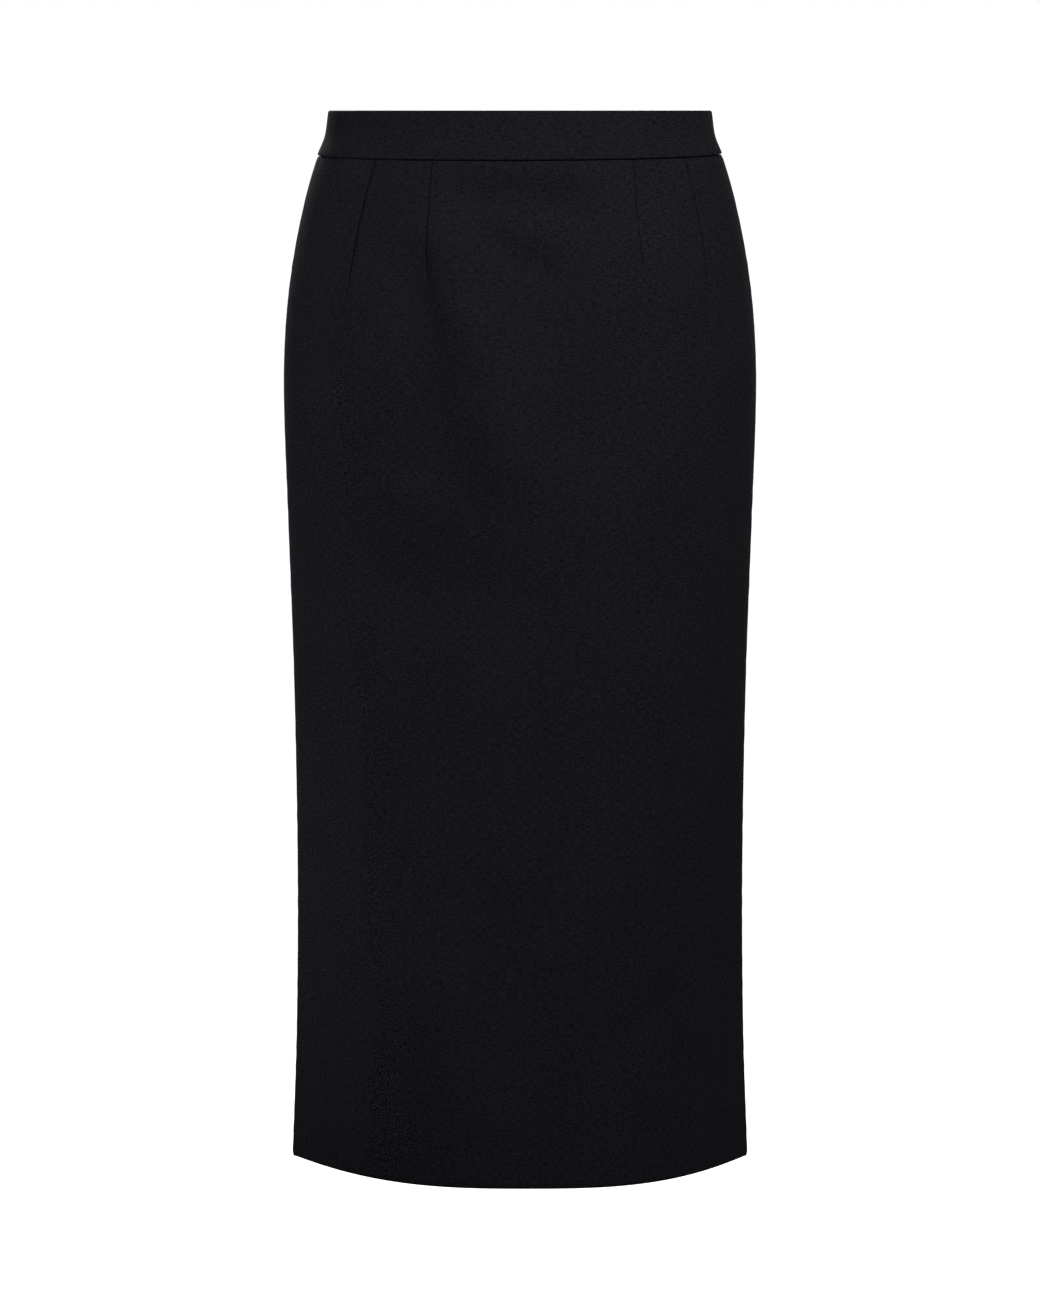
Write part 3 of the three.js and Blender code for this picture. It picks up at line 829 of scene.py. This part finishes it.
FLOAT, COLOUR, VECTOR = "NodeSocketFloat", "NodeSocketColor", "NodeSocketVector"


def turns(tree, grain, pitch):
    """How far the weave has turned at a place, along and down, for a pattern of this pitch in metres."""
    split = tree.nodes.new("ShaderNodeSeparateXYZ")
    feed(tree, split.inputs[0], scaled(tree, grain, (2 * math.pi / pitch[0], 2 * math.pi / pitch[1], 0)))
    return split.outputs[0], split.outputs[1]


def crossing_waves(tree, grain, pitch):
    """One yarn over the next: from 1 where the crosswise yarn is on top to -1 where it is beneath."""
    along, below = turns(tree, grain, pitch)
    return calc(tree, "MULTIPLY", calc(tree, "SINE", along), calc(tree, "SINE", below))


def toned(tree, colour, share):
    """A colour made lighter or darker by a share."""
    node = tree.nodes.new("ShaderNodeVectorMath")
    node.operation = "SCALE"
    feed(tree, node.inputs[0], colour)
    feed(tree, node.inputs["Scale"], share)
    return node.outputs[0]


def crepe_weave():
    """Crisp crepe: crosswise and lengthwise yarns of uneven thickness, over a fine plain weave."""
    tree, given, end = group(
        "Crepe weave",
        (
            ("Grain", VECTOR, None),
            ("Colour", COLOUR, (0.013, 0.012, 0.014, 1)),
            ("Crosswise yarn", FLOAT, 1.0),
            ("Lengthwise yarn", FLOAT, 0.5),
            ("Fleck", FLOAT, 0.5),
            ("Cloud", FLOAT, 0.3),
        ),
        (("Colour", COLOUR), ("Height", FLOAT)),
    )
    grain = given["Grain"]
    patterns = {name: noise(tree, grain, *values) for name, values in YARNS.items()}
    long_weft = calc(tree, "MULTIPLY", patterns["long weft"], LONG_WEFT_SHARE)
    weft = calc(tree, "ADD", patterns["weft"], long_weft)
    cross = calc(tree, "MULTIPLY", weft, given["Crosswise yarn"])
    length = calc(tree, "MULTIPLY", patterns["warp"], given["Lengthwise yarn"])
    flecks = calc(tree, "MULTIPLY", patterns["fleck"], given["Fleck"])
    clouds = calc(tree, "MULTIPLY", patterns["cloud"], given["Cloud"])
    yarn = calc(tree, "ADD", calc(tree, "ADD", cross, length), flecks)
    tone = calc(tree, "ADD", calc(tree, "ADD", yarn, clouds), 1.0)
    tone = calc(tree, "MAXIMUM", tone, DARKEST_YARN)
    over = crossing_waves(tree, grain, PLAIN_WEAVE["pitch"])
    share = calc(tree, "MULTIPLY_ADD", over, PLAIN_WEAVE["tone"], tone)
    feed(tree, end.inputs["Colour"], toned(tree, given["Colour"], share))
    feed(tree, end.inputs["Height"], calc(tree, "MULTIPLY_ADD", over, PLAIN_WEAVE["height"], yarn))
    return tree


def tape_weave():
    """Woven tape: fine lengthwise ribs."""
    tree, given, end = group(
        "Tape weave",
        (("Grain", VECTOR, None), ("Colour", COLOUR, (0.012, 0.011, 0.013, 1)), ("Rib", FLOAT, 0.5)),
        (("Colour", COLOUR), ("Height", FLOAT)),
    )
    along, below = turns(tree, given["Grain"], TAPE_RIB["pitch"])
    rib = calc(tree, "SINE", calc(tree, "ADD", along, calc(tree, "SINE", below)))
    uneven = noise(tree, given["Grain"], TAPE_RIB["uneven"], detail=1.0)
    height = calc(tree, "ADD", calc(tree, "MULTIPLY", rib, given["Rib"]), uneven)
    share = calc(tree, "MULTIPLY_ADD", height, TAPE_RIB["tone"], 1.0)
    feed(tree, end.inputs["Colour"], toned(tree, given["Colour"], share))
    feed(tree, end.inputs["Height"], height)
    return tree


def fine_wear():
    """Faint rubbing on smooth enamel: where it is duller."""
    tree, given, end = group(
        "Fine wear",
        (("Place", VECTOR, None), ("Roughness", FLOAT, 0.44), ("Wear", FLOAT, 0.25)),
        (("Roughness", FLOAT), ("Height", FLOAT)),
    )
    rub = noise(tree, given["Place"], ENAMEL_WEAR["rub"], detail=3.0)
    fine = noise(tree, given["Place"], ENAMEL_WEAR["fine"], detail=1.0)
    both = calc(tree, "ADD", rub, calc(tree, "MULTIPLY", fine, ENAMEL_WEAR["fine_share"]))
    worn = calc(tree, "MULTIPLY", both, given["Wear"])
    feed(tree, end.inputs["Roughness"], calc(tree, "ADD", given["Roughness"], worn))
    feed(tree, end.inputs["Height"], rub)
    return tree


def material(name, settings):
    """A material with a plain Principled surface and its settings, and its node tree."""
    made = bpy.data.materials.new(name)
    made.use_nodes = True
    tree = made.node_tree
    surface = next(node for node in tree.nodes if node.type == "BSDF_PRINCIPLED")
    for label, value in settings.items():
        surface.inputs[label].default_value = value
    return made, tree, surface


def use_group(tree, shared, values):
    node = tree.nodes.new("ShaderNodeGroup")
    node.node_tree = shared
    for label, value in values.items():
        feed(tree, node.inputs[label], value)
    return node.outputs


def bump(tree, surface, height, distance):
    node = tree.nodes.new("ShaderNodeBump")
    node.inputs["Strength"].default_value = 1.0
    node.inputs["Distance"].default_value = distance
    feed(tree, node.inputs["Height"], height)
    feed(tree, surface.inputs["Normal"], node.outputs[0])


def grain_of(tree):
    node = tree.nodes.new("ShaderNodeUVMap")
    node.uv_map = "grain"
    return node.outputs[0]


WEAVE = crepe_weave()
TAPE_WEAVE = tape_weave()
WEAR = fine_wear()


def crepe():
    made, tree, surface = material(
        "Crepe",
        {
            "Roughness": 0.85,
            "Specular IOR Level": 0.04,
            "Sheen Weight": 0.015,
            "Sheen Roughness": 0.5,
            "Sheen Tint": (0.5, 0.48, 0.55, 1),
        },
    )
    woven = use_group(
        tree,
        WEAVE,
        {
            "Grain": grain_of(tree),
            "Colour": CREPE["colour"],
            "Crosswise yarn": CREPE["crosswise"],
            "Lengthwise yarn": CREPE["lengthwise"],
            "Fleck": CREPE["fleck"],
            "Cloud": CREPE["cloud"],
        },
    )
    feed(tree, surface.inputs["Base Color"], woven["Colour"])
    bump(tree, surface, woven["Height"], CREPE["relief"])
    return made


def tape_cloth():
    made, tree, surface = material("Zip tape", {"Roughness": 0.85, "Specular IOR Level": 0.2})
    woven = use_group(tree, TAPE_WEAVE, {"Grain": grain_of(tree)})
    feed(tree, surface.inputs["Base Color"], woven["Colour"])
    bump(tree, surface, woven["Height"], TAPE_RIB["relief"])
    return made


def nylon():
    made, _, _ = material("Zip nylon", {"Base Color": (0.012, 0.012, 0.012, 1), "Roughness": 0.42})
    return made


def enamel():
    made, tree, surface = material(
        "Zip enamel",
        {
            "Base Color": (0.012, 0.012, 0.013, 1),
            "Specular IOR Level": 0.2,
            "Coat Weight": 0.04,
            "Coat Roughness": 0.3,
        },
    )
    place = tree.nodes.new("ShaderNodeTexCoord").outputs["Object"]
    worn = use_group(tree, WEAR, {"Place": place})
    feed(tree, surface.inputs["Roughness"], worn["Roughness"])
    bump(tree, surface, worn["Height"], ENAMEL_RELIEF)
    return made


crepe_finish, tape_finish, nylon_finish, enamel_finish = crepe(), tape_cloth(), nylon(), enamel()


def wear_finish(piece, finish):
    piece.data.materials.clear()
    piece.data.materials.append(finish)


for piece, node in (
    (front, "front_panel"),
    (back_left, "back_panel_left"),
    (back_right, "back_panel_right"),
    (band_front, "waistband_front"),
    (band_left, "waistband_back_left"),
    (band_right, "waistband_back_right"),
    (underlap, "vent_underlap"),
    (tapes[0], "zip_tape_left"),
    (tapes[1], "zip_tape_right"),
):
    on_tape = piece in tapes
    wear_finish(piece, tape_finish if on_tape else crepe_finish)
    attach(piece, "skirt")
    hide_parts(node)

wear_finish(zip_coil, nylon_finish)
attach(zip_coil, "skirt")
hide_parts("zip_coil")

wear_finish(pull_tab, enamel_finish)
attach(pull_tab, "pull")
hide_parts("zip_pull")

wear_finish(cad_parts["zip_slider"], enamel_finish)


# The studio: a white room with a pale floor, and soft lights

def stage_floor():
    made, tree, surface = material("Pale floor", {"Roughness": 0.9, "Specular IOR Level": 0.1})
    seen = tree.nodes.new("ShaderNodeLightPath").outputs["Is Camera Ray"]
    shade = tree.nodes.new("ShaderNodeMix")
    shade.data_type = "RGBA"
    feed(tree, shade.inputs["Factor"], seen)
    shade.inputs["A"].default_value = (*FLOOR["bounce"], 1)
    shade.inputs["B"].default_value = (*FLOOR["colour"], 1)
    feed(tree, surface.inputs["Base Color"], shade.outputs["Result"])
    surface.inputs["Emission Color"].default_value = (1, 1, 1, 1)
    feed(tree, surface.inputs["Emission Strength"], calc(tree, "MULTIPLY", seen, FLOOR["glow"]))
    mesh = bmesh.new()
    bmesh.ops.create_circle(
        mesh,
        cap_ends=True,
        segments=FLOOR["sides"],
        radius=FLOOR["radius"],
        matrix=Matrix.Translation((0, 0, FLOOR["height"])),
    )
    floor = finish_bmesh("Floor", mesh)
    floor.data.materials.append(made)


def stage_world():
    world = bpy.data.worlds.new("White room")
    world.use_nodes = True
    tree = world.node_tree
    back = next(node for node in tree.nodes if node.type == "BACKGROUND")
    back.inputs["Color"].default_value = (1, 1, 1, 1)
    seen = tree.nodes.new("ShaderNodeLightPath").outputs["Is Camera Ray"]
    feed(tree, back.inputs["Strength"], calc(tree, "MULTIPLY_ADD", seen, 1.0 - ROOM_LIGHT, ROOM_LIGHT))
    bpy.context.scene.world = world


def stage_light(values):
    light = dict(zip(LIGHT_COLUMNS, values))
    data = bpy.data.lights.new(light["name"], "AREA")
    data.shape = "RECTANGLE"
    data.size, data.size_y = light["size"]
    data.spread = math.radians(light["spread"])
    data.energy = light["power"]
    lamp = bpy.data.objects.new(light["name"], data)
    lamp.location = light["place"]
    towards = Vector(light["aim"]) - Vector(light["place"])
    lamp.rotation_euler = towards.to_track_quat("-Z", "Y").to_euler()
    bpy.context.scene.collection.objects.link(lamp)


stage_floor()
stage_world()
for values in LIGHTS:
    stage_light(values)

# The camera stands level with the waist, straight in front, and looks down a little
camera_data = bpy.data.cameras.new("Camera")
camera_data.sensor_width = CAMERA["sensor"]
camera_data.lens = CAMERA["lens"]
camera_data.clip_end = CAMERA["far"]
camera = bpy.data.objects.new("Camera", camera_data)
camera.location = (0, -CAMERA["away"], 0)
camera.rotation_euler = (math.radians(90 - CAMERA["tilt"]), 0, 0)
bpy.context.scene.collection.objects.link(camera)
bpy.context.scene.camera = camera
bpy.context.scene.view_settings.view_transform = "Standard"
